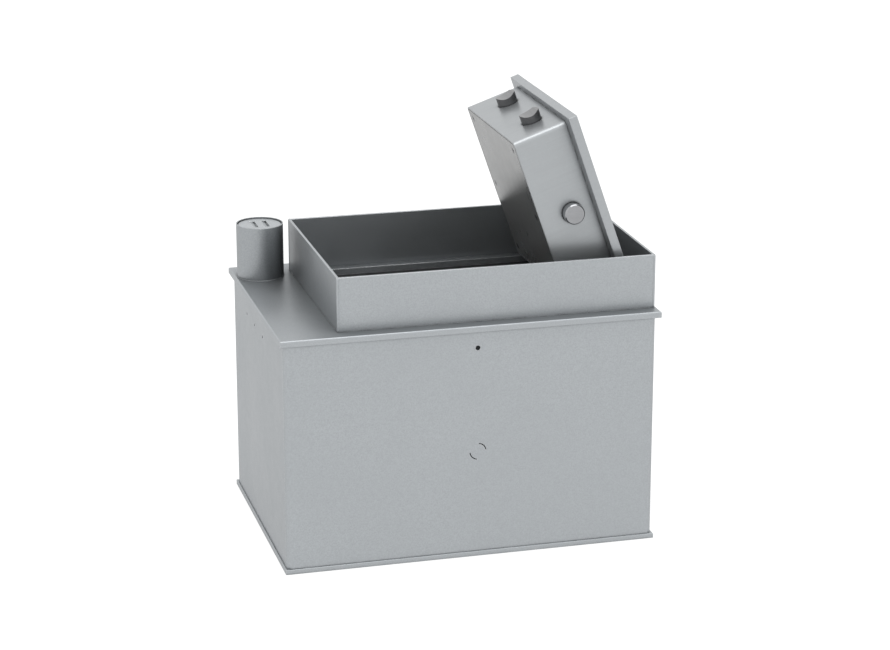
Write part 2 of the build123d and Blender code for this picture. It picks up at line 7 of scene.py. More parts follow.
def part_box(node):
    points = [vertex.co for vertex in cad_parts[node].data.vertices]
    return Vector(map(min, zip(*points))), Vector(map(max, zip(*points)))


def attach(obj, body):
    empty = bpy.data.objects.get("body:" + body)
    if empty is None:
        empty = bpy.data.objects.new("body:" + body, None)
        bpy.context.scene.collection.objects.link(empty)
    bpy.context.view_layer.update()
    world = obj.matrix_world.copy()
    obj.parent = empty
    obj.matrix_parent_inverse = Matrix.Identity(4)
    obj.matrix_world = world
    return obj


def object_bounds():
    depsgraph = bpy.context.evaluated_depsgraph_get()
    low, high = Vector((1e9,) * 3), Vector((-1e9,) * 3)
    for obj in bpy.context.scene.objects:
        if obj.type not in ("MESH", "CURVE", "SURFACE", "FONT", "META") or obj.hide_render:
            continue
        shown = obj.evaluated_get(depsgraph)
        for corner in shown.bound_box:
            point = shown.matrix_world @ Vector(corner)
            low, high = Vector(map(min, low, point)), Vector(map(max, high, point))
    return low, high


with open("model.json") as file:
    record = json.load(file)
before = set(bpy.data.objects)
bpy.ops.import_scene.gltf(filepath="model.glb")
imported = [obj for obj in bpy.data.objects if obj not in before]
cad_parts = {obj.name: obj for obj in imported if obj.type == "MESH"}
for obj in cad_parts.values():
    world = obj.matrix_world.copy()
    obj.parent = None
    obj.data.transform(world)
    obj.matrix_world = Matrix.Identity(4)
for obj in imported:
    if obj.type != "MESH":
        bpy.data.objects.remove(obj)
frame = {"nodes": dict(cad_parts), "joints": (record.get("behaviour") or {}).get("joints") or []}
cad_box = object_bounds()


# The box is bent and flat steel sheet, welded and then sprayed with one coat of light grey
# baked paint that has fine metal flake in it. The coat is thin on the edges, where handling
# rubbed it, and the edges are painted lighter as a highlight too; the inside corners are
# darkened by a little dirt and by painted shade.

def new_group(name, inputs, outputs):
    """An empty node group with float or vector inputs and the outputs named."""
    group = bpy.data.node_groups.new(name, "ShaderNodeTree")
    for label, kind, start in inputs:
        socket = group.interface.new_socket(label, in_out="INPUT", socket_type=kind)
        if start is not None:
            socket.default_value = start
    for label in outputs:
        group.interface.new_socket(label, in_out="OUTPUT", socket_type="NodeSocketFloat")
    return group, group.nodes.new("NodeGroupInput"), group.nodes.new("NodeGroupOutput")


def feed(tree, socket, value):
    """Links a socket to an input, or sets a plain value on it."""
    if isinstance(value, bpy.types.NodeSocket):
        tree.links.new(value, socket)
    elif value is not None:
        socket.default_value = value


def math_node(tree, operation, first, second=None, clamp=False):
    """One Math node; each operand is a socket or a number."""
    node = tree.nodes.new("ShaderNodeMath")
    node.operation = operation
    node.use_clamp = clamp
    for socket, value in zip(node.inputs, (first, second)):
        feed(tree, socket, value)
    return node.outputs[0]


def weighted_sum(tree, first, first_share, second, second_share):
    """Two values added, each times its own share."""
    one = math_node(tree, "MULTIPLY", first, first_share)
    two = math_node(tree, "MULTIPLY", second, second_share)
    return math_node(tree, "ADD", one, two)


def noise_node(tree, vector, scale, detail=2.0, roughness=0.5):
    """One Noise Texture; its scale is a socket or a number of grains a metre."""
    node = tree.nodes.new("ShaderNodeTexNoise")
    tree.links.new(vector, node.inputs["Vector"])
    feed(tree, node.inputs["Scale"], scale)
    node.inputs["Detail"].default_value = detail
    node.inputs["Roughness"].default_value = roughness
    return node.outputs["Fac"]


def range_node(tree, value, low, high, new_low, new_high, smooth=False):
    """One Map Range node from low..high to new_low..new_high, clamped."""
    node = tree.nodes.new("ShaderNodeMapRange")
    node.interpolation_type = "SMOOTHSTEP" if smooth else "LINEAR"
    tree.links.new(value, node.inputs["Value"])
    limits = {"From Min": low, "From Max": high, "To Min": new_low, "To Max": new_high}
    for label, number in limits.items():
        node.inputs[label].default_value = number
    return node.outputs["Result"]


def make_spray_grain():
    """Flake and orange peel of a sprayed coat: Height for a bump, Flake for the colour."""
    group, given, put = new_group(
        "spray grain",
        (("Vector", "NodeSocketVector", None), ("Flake Scale", "NodeSocketFloat", 650.0),
         ("Peel Scale", "NodeSocketFloat", 260.0)),
        ("Height", "Flake"))
    flake = noise_node(group, given.outputs["Vector"], given.outputs["Flake Scale"], 2.0, 0.6)
    peel = noise_node(group, given.outputs["Vector"], given.outputs["Peel Scale"], 1.0, 0.4)
    height = weighted_sum(group, flake, 0.35, peel, 0.65)
    group.links.new(height, put.inputs["Height"])
    group.links.new(range_node(group, flake, 0.3, 0.7, 0.0, 1.0), put.inputs["Flake"])
    return group


def make_cloudy_shade():
    """Slow change over a whole sheet, from an uneven coat: 0 is thin and 1 is thick."""
    group, given, put = new_group(
        "cloudy shade",
        (("Vector", "NodeSocketVector", None), ("Cloud Scale", "NodeSocketFloat", 7.0)),
        ("Shade",))
    broad = noise_node(group, given.outputs["Vector"], given.outputs["Cloud Scale"], 3.0, 0.55)
    close = noise_node(group, given.outputs["Vector"], 75.0, 2.0, 0.5)
    both = weighted_sum(group, broad, 0.7, close, 0.3)
    group.links.new(range_node(group, both, 0.3, 0.7, 0.0, 1.0, True), put.inputs["Shade"])
    return group


def make_edge_wear_and_painted_light():
    """A mask along outside edges, broken up by noise, for where handling has thinned the coat and for the
    painted highlights and painted shade laid on edges.
    """
    group, given, put = new_group(
        "edge wear and painted light",
        (("Vector", "NodeSocketVector", None), ("Width", "NodeSocketFloat", 0.001),
         ("Broken", "NodeSocketFloat", 0.5)),
        ("Mask",))
    rounded = group.nodes.new("ShaderNodeBevel")
    rounded.samples = 4
    group.links.new(given.outputs["Width"], rounded.inputs["Radius"])
    surface = group.nodes.new("ShaderNodeNewGeometry")
    across = group.nodes.new("ShaderNodeVectorMath")
    across.operation = "DOT_PRODUCT"
    group.links.new(rounded.outputs["Normal"], across.inputs[0])
    group.links.new(surface.outputs["Normal"], across.inputs[1])
    turned = math_node(group, "SUBTRACT", 1.0, across.outputs["Value"])
    edge = range_node(group, turned, 0.015, 0.2, 0.0, 1.0, True)
    speckle = noise_node(group, given.outputs["Vector"], 130.0, 4.0, 0.65)
    patches = range_node(group, speckle, 0.35, 0.65, 0.0, 1.0)
    kept = math_node(group, "SUBTRACT", 1.0, math_node(group, "MULTIPLY", patches, given.outputs["Broken"]))
    group.links.new(math_node(group, "MULTIPLY", edge, kept, True), put.inputs["Mask"])
    return group


def make_corner_dirt_and_shade():
    """A mask in inside corners and seams, heavier in some places than others, for a little dirt and for
    painted shade.
    """
    group, given, put = new_group(
        "corner dirt and painted shade",
        (("Vector", "NodeSocketVector", None), ("Reach", "NodeSocketFloat", 0.004),
         ("Amount", "NodeSocketFloat", 0.6)),
        ("Mask",))
    closed = group.nodes.new("ShaderNodeAmbientOcclusion")
    closed.samples = 6
    group.links.new(given.outputs["Reach"], closed.inputs["Distance"])
    depth = range_node(group, closed.outputs["AO"], 0.45, 0.95, 1.0, 0.0, True)
    speckle = noise_node(group, given.outputs["Vector"], 60.0, 3.0, 0.6)
    patches = range_node(group, speckle, 0.3, 0.7, 0.45, 1.0)
    patchy = math_node(group, "MULTIPLY", depth, patches)
    dirt_and_shade = math_node(group, "MULTIPLY", patchy, given.outputs["Amount"], True)
    group.links.new(dirt_and_shade, put.inputs["Mask"])
    return group


def make_painted_recess_shade():
    """A mask in deep recesses, for painted shade there."""
    group, given, put = new_group(
        "painted recess shade",
        (("Vector", "NodeSocketVector", None), ("Reach", "NodeSocketFloat", 0.09)),
        ("Mask",))
    hidden = group.nodes.new("ShaderNodeAmbientOcclusion")
    hidden.samples = 8
    group.links.new(given.outputs["Reach"], hidden.inputs["Distance"])
    uneven = noise_node(group, given.outputs["Vector"], 22.0, 2.0, 0.5)
    depth = math_node(group, "ADD", hidden.outputs["AO"], math_node(group, "MULTIPLY", uneven, 0.08))
    group.links.new(range_node(group, depth, 0.25, 0.95, 1.0, 0.0), put.inputs["Mask"])
    return group


def make_inside_box():
    """A mask of 1 between two opposite corners and 0 outside them."""
    group, given, put = new_group(
        "inside box",
        (("Vector", "NodeSocketVector", None), ("Low", "NodeSocketVector", None),
         ("High", "NodeSocketVector", None)),
        ("Mask",))
    split = []
    for label in ("Vector", "Low", "High"):
        part = group.nodes.new("ShaderNodeSeparateXYZ")
        group.links.new(given.outputs[label], part.inputs[0])
        split.append(part.outputs)
    mask = 1.0
    for place, least, most in zip(*split):
        above = math_node(group, "GREATER_THAN", place, least)
        below = math_node(group, "LESS_THAN", place, most)
        mask = math_node(group, "MULTIPLY", math_node(group, "MULTIPLY", above, below), mask)
    group.links.new(mask, put.inputs["Mask"])
    return group


def make_brush_lines():
    """Fine lines along the X of the vector given, from an abrasive belt: Height and Shade."""
    group, given, put = new_group(
        "brush lines",
        (("Vector", "NodeSocketVector", None), ("Line Scale", "NodeSocketFloat", 900.0)),
        ("Height", "Shade"))
    stretch = group.nodes.new("ShaderNodeVectorMath")
    stretch.operation = "MULTIPLY"
    group.links.new(given.outputs["Vector"], stretch.inputs[0])
    stretch.inputs[1].default_value = (0.02, 1.0, 1.0)
    fine = noise_node(group, stretch.outputs["Vector"], given.outputs["Line Scale"], 3.0, 0.6)
    wide_scale = math_node(group, "MULTIPLY", given.outputs["Line Scale"], 0.22)
    wide = noise_node(group, stretch.outputs["Vector"], wide_scale, 2.0, 0.5)
    both = weighted_sum(group, fine, 0.6, wide, 0.4)
    group.links.new(both, put.inputs["Height"])
    group.links.new(range_node(group, both, 0.3, 0.7, 0.0, 1.0), put.inputs["Shade"])
    return group


spray_grain = make_spray_grain()
cloudy_shade = make_cloudy_shade()
edge_wear_and_painted_light = make_edge_wear_and_painted_light()
corner_dirt_and_shade = make_corner_dirt_and_shade()
painted_recess_shade = make_painted_recess_shade()
inside_box = make_inside_box()
brush_lines = make_brush_lines()


def place_group(tree, group, vector, **values):
    """A group node with its vector linked and its named inputs set."""
    node = tree.nodes.new("ShaderNodeGroup")
    node.node_tree = group
    tree.links.new(vector, node.inputs["Vector"])
    for label, value in values.items():
        node.inputs[label.replace("_", " ").title()].default_value = value
    return node


def mix_colours(tree, amount, first, second):
    """A colour Mix node; each colour is a socket or a triple."""
    node = tree.nodes.new("ShaderNodeMix")
    node.data_type = "RGBA"
    factor, one, two, mixed = node.inputs[0], node.inputs[6], node.inputs[7], node.outputs[2]
    for socket, value in ((factor, amount), (one, first), (two, second)):
        feed(tree, socket, (*value, 1.0) if isinstance(value, tuple) else value)
    return mixed


def shade(colour, share):
    """A colour made lighter or darker, and never above white."""
    return tuple(min(1.0, c * share) for c in colour)


def object_space(tree, turn):
    """Object coordinates, turned so that their X runs the way the tool went."""
    place = tree.nodes.new("ShaderNodeTexCoord")
    lay = tree.nodes.new("ShaderNodeMapping")
    tree.links.new(place.outputs["Object"], lay.inputs["Vector"])
    lay.inputs["Rotation"].default_value = turn
    return lay.outputs["Vector"]


def sprayed_coat(name, colour, metal=0.8, gloss=0.38, flake=0.1, peel=0.00007, edge_width=0.0009,
                 edge_colour=(0.8, 0.82, 0.83), edge_broken=0.6, dirt_and_shade_reach=0.004, dirt_and_shade=0.6, recess_shade=0.0,
                 turn=(0, 0, 0), brushed=0.0, rounding=0.0009, within=None, inner_shade_share=0.66):
    """A painted steel finish. The recess shade setting darkens deep recesses as painted shade, brushed
    above 0 lets the belt lines of the sheet show through, and within is a box inside which the
    colour is darkened as painted shade."""
    thin_shade, recess_shade_tone, dirt_and_shade_tone = 0.965, 0.25, 0.22
    dirt_dulls, rubbing_polishes = 0.3, 0.1
    material = bpy.data.materials.new(name)
    material.use_nodes = True
    tree = material.node_tree
    shader = tree.nodes["Principled BSDF"]
    vector = object_space(tree, turn)
    grain = place_group(tree, spray_grain, vector)
    cloud = place_group(tree, cloudy_shade, vector)
    edge = place_group(tree, edge_wear_and_painted_light, vector, width=edge_width, broken=edge_broken)
    corner = place_group(tree, corner_dirt_and_shade, vector, reach=dirt_and_shade_reach, amount=dirt_and_shade)
    coat = mix_colours(tree, grain.outputs["Flake"], shade(colour, 1 - flake), shade(colour, 1 + flake))
    thin_coat = math_node(tree, "MULTIPLY", cloud.outputs["Shade"], 0.35)
    coat = mix_colours(tree, thin_coat, coat, shade(colour, thin_shade))
    height = grain.outputs["Height"]
    if brushed:
        lines = place_group(tree, brush_lines, vector)
        streak = mix_colours(tree, lines.outputs["Shade"],
                             shade(colour, 1 - brushed), shade(colour, 1 + brushed))
        coat = mix_colours(tree, 0.5, coat, streak)
        height = weighted_sum(tree, height, 0.5, lines.outputs["Height"], 0.5)
    # Deep recesses are darkened as painted shade.
    if recess_shade:
        recess_mask = place_group(tree, painted_recess_shade, vector)
        recess_share = math_node(tree, "MULTIPLY", recess_mask.outputs["Mask"], recess_shade)
        coat = mix_colours(tree, recess_share, coat, shade(colour, recess_shade_tone))
    # Inside the box given, the colour is darkened as painted shade.
    if within:
        inner_shade = place_group(tree, inside_box, vector, low=within[0], high=within[1])
        coat = mix_colours(tree, inner_shade.outputs["Mask"], coat, shade(colour, inner_shade_share))
    # Outside edges take the edge colour: a light one is worn coat and painted highlight, a dark one is
    # painted shade.
    coat = mix_colours(tree, edge.outputs["Mask"], coat, edge_colour)
    # Inside corners and seams are darkened by a little dirt and by painted shade.
    coat = mix_colours(tree, corner.outputs["Mask"], coat, shade(colour, dirt_and_shade_tone))
    tree.links.new(coat, shader.inputs["Base Color"])
    shader.inputs["Metallic"].default_value = metal
    shader.inputs["Specular Tint"].default_value = (0.7, 0.7, 0.7, 1.0)
    smooth = range_node(tree, cloud.outputs["Shade"], 0.0, 1.0, gloss - 0.04, gloss + 0.05)
    duller = math_node(tree, "MULTIPLY", corner.outputs["Mask"], dirt_dulls)
    smooth = math_node(tree, "ADD", smooth, duller)
    brighter = math_node(tree, "MULTIPLY", edge.outputs["Mask"], rubbing_polishes)
    smooth = math_node(tree, "SUBTRACT", smooth, brighter, True)
    tree.links.new(smooth, shader.inputs["Roughness"])
    bump = tree.nodes.new("ShaderNodeBump")
    bump.inputs["Strength"].default_value = 1.0
    bump.inputs["Distance"].default_value = peel
    tree.links.new(height, bump.inputs["Height"])
    soft = tree.nodes.new("ShaderNodeBevel")
    soft.samples = 4
    soft.inputs["Radius"].default_value = rounding
    tree.links.new(soft.outputs["Normal"], bump.inputs["Normal"])
    tree.links.new(bump.outputs["Normal"], shader.inputs["Normal"])
    return material


def finish_nodes(material, *nodes):
    """Puts a material on the CAD nodes named."""
    for node in nodes:
        for slot in frame["nodes"][node].material_slots:
            slot.material = material


coat_grey = (0.358, 0.377, 0.391)
grey_coat = sprayed_coat("light grey baked paint", coat_grey)
finish_nodes(grey_coat, "base_plate", "front_panel", "rear_panel", "left_side", "right_side")


# Short stitch welds hold the walls to the base plate. Each is a low rippled bead of filler
# wire laid in the corner with a torch, then painted over with the rest of the box.

def model_stitch(name, length, radius, ripples, sides=8, trough=0.84):
    """One stitch weld along X, centred on the origin: a ring extruded ripple by ripple.
    Its ends taper, and trough is the share of the radius left between two ripples."""
    bpy.ops.object.select_all(action="DESELECT")
    step = length / (2 * ripples)
    tip = 0.45
    bpy.ops.mesh.primitive_circle_add(
        vertices=sides, radius=radius * tip, fill_type="NGON",
        location=(-length / 2, 0, 0), rotation=(0, math.pi / 2, 0))
    bead = bpy.context.object
    bead.name = name
    bpy.ops.object.transform_apply(location=True, rotation=True, scale=True)
    bpy.ops.object.mode_set(mode="EDIT")
    bpy.ops.mesh.select_all(action="SELECT")
    width = tip
    for ring in range(2 * ripples):
        bpy.ops.mesh.extrude_region_move(TRANSFORM_OT_translate={"value": (step, 0, 0)})
        wanted = tip if ring == 2 * ripples - 1 else (1.0 if ring % 2 == 0 else trough)
        factor = wanted / width
        bpy.ops.transform.resize(value=(1, factor, factor))
        width = wanted
    bpy.ops.mesh.select_all(action="SELECT")
    bpy.ops.mesh.normals_make_consistent(inside=False)
    bpy.ops.object.mode_set(mode="OBJECT")
    bpy.ops.object.shade_smooth()
    return bead


def copy_bead(pattern, placing):
    """A copy of a bead with its own mesh, moved to its place."""
    copy = pattern.copy()
    copy.data = pattern.data.copy()
    bpy.context.scene.collection.objects.link(copy)
    copy.data.transform(placing)
    return copy


def join_beads(name, copies, body, material):
    """Joins beads into one piece that rides on a body."""
    bpy.ops.object.select_all(action="DESELECT")
    for copy in copies:
        copy.select_set(True)
    bpy.context.view_layer.objects.active = copies[0]
    bpy.ops.object.join()
    seam = bpy.context.object
    seam.name = name
    seam.data.materials.clear()
    seam.data.materials.append(material)
    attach(seam, body)


def lay_stitches(name, pattern, seams, spacing, body, material):
    """Copies of one stitch along straight seams, each (start, end), joined into one piece."""
    copies = []
    for start, end in seams:
        run = end - start
        count = max(1, round(run.length / spacing))
        turn = Vector((1, 0, 0)).rotation_difference(run.normalized()).to_matrix().to_4x4()
        for number in range(count):
            middle = start + run * ((number + 0.5) / count)
            copies.append(copy_bead(pattern, Matrix.Translation(middle) @ turn))
    join_beads(name, copies, body, material)


def round_corners(low, high, level, inset):
    """The four straight runs round a rectangle, each stopping short of the corners."""
    x0, y0, x1, y1 = low.x, low.y, high.x, high.y
    return [
        (Vector((x0 + inset, y0, level)), Vector((x1 - inset, y0, level))),
        (Vector((x1, y0 + inset, level)), Vector((x1, y1 - inset, level))),
        (Vector((x1 - inset, y1, level)), Vector((x0 + inset, y1, level))),
        (Vector((x0, y1 - inset, level)), Vector((x0, y0 + inset, level))),
    ]


# The bead paint is 0.6 of the wall grey, darker than the walls, so each seam shows as a row of dark dashes.
weld_coat = sprayed_coat("paint on weld beads", shade(coat_grey, 0.6), edge_colour=(0.4, 0.41, 0.42))
wall_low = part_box("front_panel")[0]
wall_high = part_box("rear_panel")[1]
base_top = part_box("base_plate")[1].z
wall_spacing = 0.031
wall_corner_gap = 0.012
wall_stitch = model_stitch("wall_stitch", length=0.016, radius=0.0007, ripples=7)
lay_stitches("base_seam_welds", wall_stitch, round_corners(wall_low, wall_high, base_top, wall_corner_gap),
             wall_spacing, "safe", weld_coat)


# The top plate is one thick flat plate cut for the doorway and the tube, with a rounded
# front edge. It overhangs the walls and is stitched to them from below.

# The top plate's deep recesses are darkened as painted shade.
shaded_coat = sprayed_coat("baked paint with painted shade in recesses", coat_grey, recess_shade=0.65)
finish_nodes(shaded_coat, "top_plate")
plate_low, plate_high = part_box("top_plate")
lay_stitches("top_seam_welds", wall_stitch, round_corners(wall_low, wall_high, plate_low.z, wall_corner_gap),
             wall_spacing, "safe", weld_coat)
bpy.data.objects.remove(wall_stitch)


# The collar is four flat steel strips, stood on the top plate round the doorway and stitched
# along the foot. Concrete is poured up to its rim. Inside, the rear and side strips are darkened
# as painted shade, and the recesses round the strips are darkened as painted shade too.

collar_low = Vector((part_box("collar_left")[0].x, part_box("collar_front")[0].y, 0))
collar_high = Vector((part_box("collar_right")[1].x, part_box("collar_rear")[1].y, 0))
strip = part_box("collar_left")[1].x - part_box("collar_left")[0].x
rim_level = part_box("collar_front")[1].z
rim_clear = 0.0008
inner_low = (collar_low.x + strip - rim_clear, collar_low.y + strip + rim_clear, 0.0)
inner_high = (collar_high.x - strip + rim_clear, collar_high.y - strip + rim_clear, rim_level - rim_clear)
collar_coat = sprayed_coat("baked paint, painted shade inside", coat_grey, recess_shade=0.35,
                           edge_width=0.0012, edge_broken=0.25, within=(inner_low, inner_high))
finish_nodes(collar_coat, "collar_rear", "collar_left", "collar_right")
# The front strip's recesses are darkened a little as painted shade.
open_coat = sprayed_coat("baked paint on front strip", coat_grey, recess_shade=0.12,
                         edge_width=0.0012, edge_broken=0.25)
finish_nodes(open_coat, "collar_front")
collar_spacing = 0.027
collar_corner_gap = 0.008
collar_stitch = model_stitch("collar_stitch", length=0.017, radius=0.0006, ripples=8)
foot_runs = round_corners(collar_low, collar_high, plate_high.z, collar_corner_gap)
lay_stitches("collar_foot_welds", collar_stitch, foot_runs, collar_spacing, "safe", weld_coat)


# Each corner of the collar is closed outside by an upright weld of filler wire. It is
# dressed nearly smooth and painted over with the strips.

corner_set_in = 0.0012
corner_middle = (rim_level + plate_high.z) / 2
corner_bead = model_stitch("corner_bead", length=rim_level - plate_high.z, radius=0.0018, ripples=30,
                           sides=12, trough=0.97)
upright = Matrix.Rotation(-math.pi / 2, 4, "Y")
corner_beads = [copy_bead(corner_bead, Matrix.Translation((x, y, corner_middle)) @ upright)
                for x in (collar_low.x + corner_set_in, collar_high.x - corner_set_in)
                for y in (collar_low.y + corner_set_in, collar_high.y - corner_set_in)]
join_beads("collar_corner_welds", corner_beads, "safe", grey_coat)
bpy.data.objects.remove(corner_bead)


# The deposit tube is a length of round pipe passed through the top plate and welded all
# round at its foot. A turned lid with two finger slots drops on a ring inside its mouth.

# The pipe's grey is darkened and its recesses more so, as painted shade; the lid's grey is lightened as
# painted light.
tube_coat = sprayed_coat("baked paint on pipe, darkened as painted shade", shade(coat_grey, 0.88), recess_shade=0.75)
lid_coat = sprayed_coat("baked paint on lid, lightened as painted light", shade(coat_grey, 1.14), edge_broken=0.3)
finish_nodes(tube_coat, "deposit_tube", "lid_seat_ring")
finish_nodes(lid_coat, "tube_lid")


def model_ring_bead(name, centre, level, radius, bead, ripples, body, material):
    """A weld bead all round a pipe: a small rippled rod spun about the pipe's axis."""
    bpy.ops.object.select_all(action="DESELECT")
    bpy.ops.mesh.primitive_circle_add(
        vertices=8, radius=bead,
        location=(centre.x + radius, centre.y, level), rotation=(math.pi / 2, 0, 0))
    ring = bpy.context.object
    ring.name = name
    bpy.ops.object.transform_apply(location=True, rotation=True, scale=True)
    bpy.ops.object.mode_set(mode="EDIT")
    bpy.ops.mesh.select_all(action="SELECT")
    bpy.ops.mesh.spin(steps=2 * ripples, angle=2 * math.pi, center=(centre.x, centre.y, level),
                      axis=(0, 0, 1))
    bpy.ops.mesh.select_all(action="SELECT")
    bpy.ops.mesh.remove_doubles(threshold=0.00002)
    bpy.ops.mesh.normals_make_consistent(inside=False)
    bpy.ops.mesh.select_all(action="DESELECT")
    bpy.ops.object.mode_set(mode="OBJECT")
    for vertex in ring.data.vertices:
        angle = math.atan2(vertex.co.y - centre.y, vertex.co.x - centre.x)
        vertex.select = round(angle / (math.pi / ripples)) % 2 == 0
    bpy.ops.object.mode_set(mode="EDIT")
    ripple_depth = bead * 0.22
    bpy.ops.transform.shrink_fatten(value=-ripple_depth)
    bpy.ops.object.mode_set(mode="OBJECT")
    bpy.ops.object.shade_smooth()
    ring.data.materials.append(material)
    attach(ring, body)


tube_low, tube_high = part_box("deposit_tube")
tube_middle = (tube_low + tube_high) / 2
tube_radius = (tube_high.x - tube_low.x) / 2
model_ring_bead("tube_foot_weld", tube_middle, plate_high.z, tube_radius, bead=0.0007, ripples=60,
                body="safe", material=tube_coat)


# The door frame is square bar welded under the top plate, machined for the door to sit on.
# The fixed panel, the chute and the hinge brackets are welded to it and to the plate. Their
# grey is painted very dark, as painted shade for where they sit deep under the plate.

frame_coat = sprayed_coat("grey paint on bar, dark as painted shade", (0.12, 0.124, 0.128), metal=0.7, gloss=0.45,
                          edge_colour=(0.2, 0.205, 0.21), dirt_and_shade_reach=0.012, dirt_and_shade=0.8)
finish_nodes(frame_coat, "frame_bar_front", "frame_bar_rear", "frame_bar_hinge", "frame_bar_left",
             "strike_bar", "deposit_chute", "hinge_brackets", "fixed_panel")


# The door is thick plate with a bolt casing of bent sheet welded on its inside. The sheet
# was belted before it was sprayed, and the lines still show through the coat.

hinge = next(joint for joint in frame["joints"] if joint["child"] == "door")
door_tilt = math.radians(-hinge["range_deg"][0])
door_turn = (0.0, math.pi / 2 - door_tilt, 0.0)
# The door's deep recesses are darkened a little as painted shade.
door_coat = sprayed_coat("grey paint on belted sheet", (0.358, 0.374, 0.385), gloss=0.34,
                         flake=0.04, peel=0.00003, recess_shade=0.12, turn=door_turn, brushed=0.06,
                         edge_colour=(0.5, 0.51, 0.52), rounding=0.0025)
finish_nodes(door_coat, "door_plate", "bolt_casing", "hinge_straps", "cover_blocks")


# The inner cover is a flat steel sheet that closes the bolt casing, held by six countersunk
# screws into tapped blocks. Its grey is darker than the door's, as painted shade, and its
# edges are painted near black as the shade in the gap round it.

cover_coat = sprayed_coat("grey paint on cover, darkened as painted shade", (0.31, 0.314, 0.314), gloss=0.3, flake=0.03, peel=0.00003,
                          turn=door_turn, brushed=0.03, edge_width=0.0022,
                          edge_colour=(0.06, 0.06, 0.062), edge_broken=0.15)
finish_nodes(cover_coat, "inner_cover")


# The bolts are turned from round bar. The end bolts are left dark from the mill with a
# notched tip, and the side bolts are polished and plated.

def bare_metal(name, colour, gloss, line_scale=900.0, turn=(0, 0, 0), contrast=0.12, relief=0.00003,
               edge_width=0.0006, edge_lift=1.5, dirt_and_shade=0.5, dirt_and_shade_reach=0.003):
    """A metal finish with tool lines along the X of the turned coordinates."""
    stained_shade, dirt_and_shade_tone, dirt_dulls = 0.8, 0.2, 0.25
    material = bpy.data.materials.new(name)
    material.use_nodes = True
    tree = material.node_tree
    shader = tree.nodes["Principled BSDF"]
    vector = object_space(tree, turn)
    lines = place_group(tree, brush_lines, vector, line_scale=line_scale)
    cloud = place_group(tree, cloudy_shade, vector, cloud_scale=40.0)
    edge = place_group(tree, edge_wear_and_painted_light, vector, width=edge_width, broken=0.4)
    corner = place_group(tree, corner_dirt_and_shade, vector, reach=dirt_and_shade_reach, amount=dirt_and_shade)
    face = mix_colours(tree, lines.outputs["Shade"], shade(colour, 1 - contrast), shade(colour, 1 + contrast))
    stain = math_node(tree, "MULTIPLY", cloud.outputs["Shade"], 0.3)
    face = mix_colours(tree, stain, face, shade(colour, stained_shade))
    # Outside edges are made lighter: handling wear and a painted highlight.
    face = mix_colours(tree, edge.outputs["Mask"], face, shade(colour, edge_lift))
    # Inside corners are darkened by a little dirt and by painted shade.
    face = mix_colours(tree, corner.outputs["Mask"], face, shade(colour, dirt_and_shade_tone))
    tree.links.new(face, shader.inputs["Base Color"])
    shader.inputs["Metallic"].default_value = 1.0
    smooth = range_node(tree, lines.outputs["Shade"], 0.0, 1.0, gloss - 0.04, gloss + 0.06)
    duller = math_node(tree, "MULTIPLY", corner.outputs["Mask"], dirt_dulls)
    smooth = math_node(tree, "ADD", smooth, duller, True)
    tree.links.new(smooth, shader.inputs["Roughness"])
    bump = tree.nodes.new("ShaderNodeBump")
    bump.inputs["Distance"].default_value = relief
    tree.links.new(lines.outputs["Height"], bump.inputs["Height"])
    tree.links.new(bump.outputs["Normal"], shader.inputs["Normal"])
    return material


across_door = (0.0, 0.0, math.pi / 2)
dark_bolt = bare_metal("dark turned steel", (0.14, 0.14, 0.143), 0.36, 700.0, turn=across_door)


def brighten_facing(material, direction, colour):
    """Faces that look along a direction were milled after the rest, and are brighter."""
    tree = material.node_tree
    shader = tree.nodes["Principled BSDF"]
    before = shader.inputs["Base Color"].links[0].from_socket
    place = tree.nodes.new("ShaderNodeTexCoord")
    facing = tree.nodes.new("ShaderNodeVectorMath")
    facing.operation = "DOT_PRODUCT"
    tree.links.new(place.outputs["Normal"], facing.inputs[0])
    facing.inputs[1].default_value = direction
    milled = range_node(tree, facing.outputs["Value"], 0.6, 0.85, 0.0, 1.0, True)
    grain = noise_node(tree, place.outputs["Object"], 400.0, 3.0, 0.6)
    patchy = math_node(tree, "MULTIPLY", milled, range_node(tree, grain, 0.3, 0.7, 0.8, 1.0))
    tree.links.new(mix_colours(tree, patchy, before, colour), shader.inputs["Base Color"])


brighten_facing(dark_bolt, (-math.cos(door_tilt), 0.0, math.sin(door_tilt)), (0.2, 0.203, 0.207))
bright_bolt = bare_metal("polished plated steel", (0.31, 0.315, 0.325), 0.16, 1400.0,
                         contrast=0.05, relief=0.00001)
finish_nodes(dark_bolt, "end_bolts")
finish_nodes(bright_bolt, "front_side_bolt", "rear_side_bolt")
guide_metal = bare_metal("plain turned steel", (0.36, 0.36, 0.365), 0.36, 900.0)
finish_nodes(guide_metal, "end_bolt_guides", "side_bolt_guides")


# The works behind the cover are cut from plate and zinc plated: a carriage for the end
# bolts, a drive bar for each side bolt, and a cam disc on the spindle.

zinc_plate = bare_metal("zinc plate", (0.55, 0.56, 0.57), 0.3, 1100.0, turn=door_turn, contrast=0.08)
finish_nodes(zinc_plate, "handle_spindle", "spindle_collar", "cam_disc", "end_bolt_carriage",
             "front_drive_bar", "rear_drive_bar", "hinge_pins")
brass_bush = bare_metal("turned brass", (0.62, 0.44, 0.17), 0.28, 1200.0, turn=door_turn, contrast=0.1)
finish_nodes(brass_bush, "spindle_bush")


# The cover screws and the lock screws are dark plated steel, driven into tapped holes. The
# rivet that the keyhole flap swings on has the same finish.

screw_metal = bare_metal("dark plated screws", (0.12, 0.12, 0.125), 0.38, 1500.0, turn=door_turn,
                         edge_width=0.0004)
finish_nodes(screw_metal, "cover_screws", "lock_screws", "flap_rivet")


# The handle is a turned hub with a flat grip, and the keyhole plate and its swinging flap
# are pressed from sheet. All are satin nickel plated. The lock case is cast zinc.

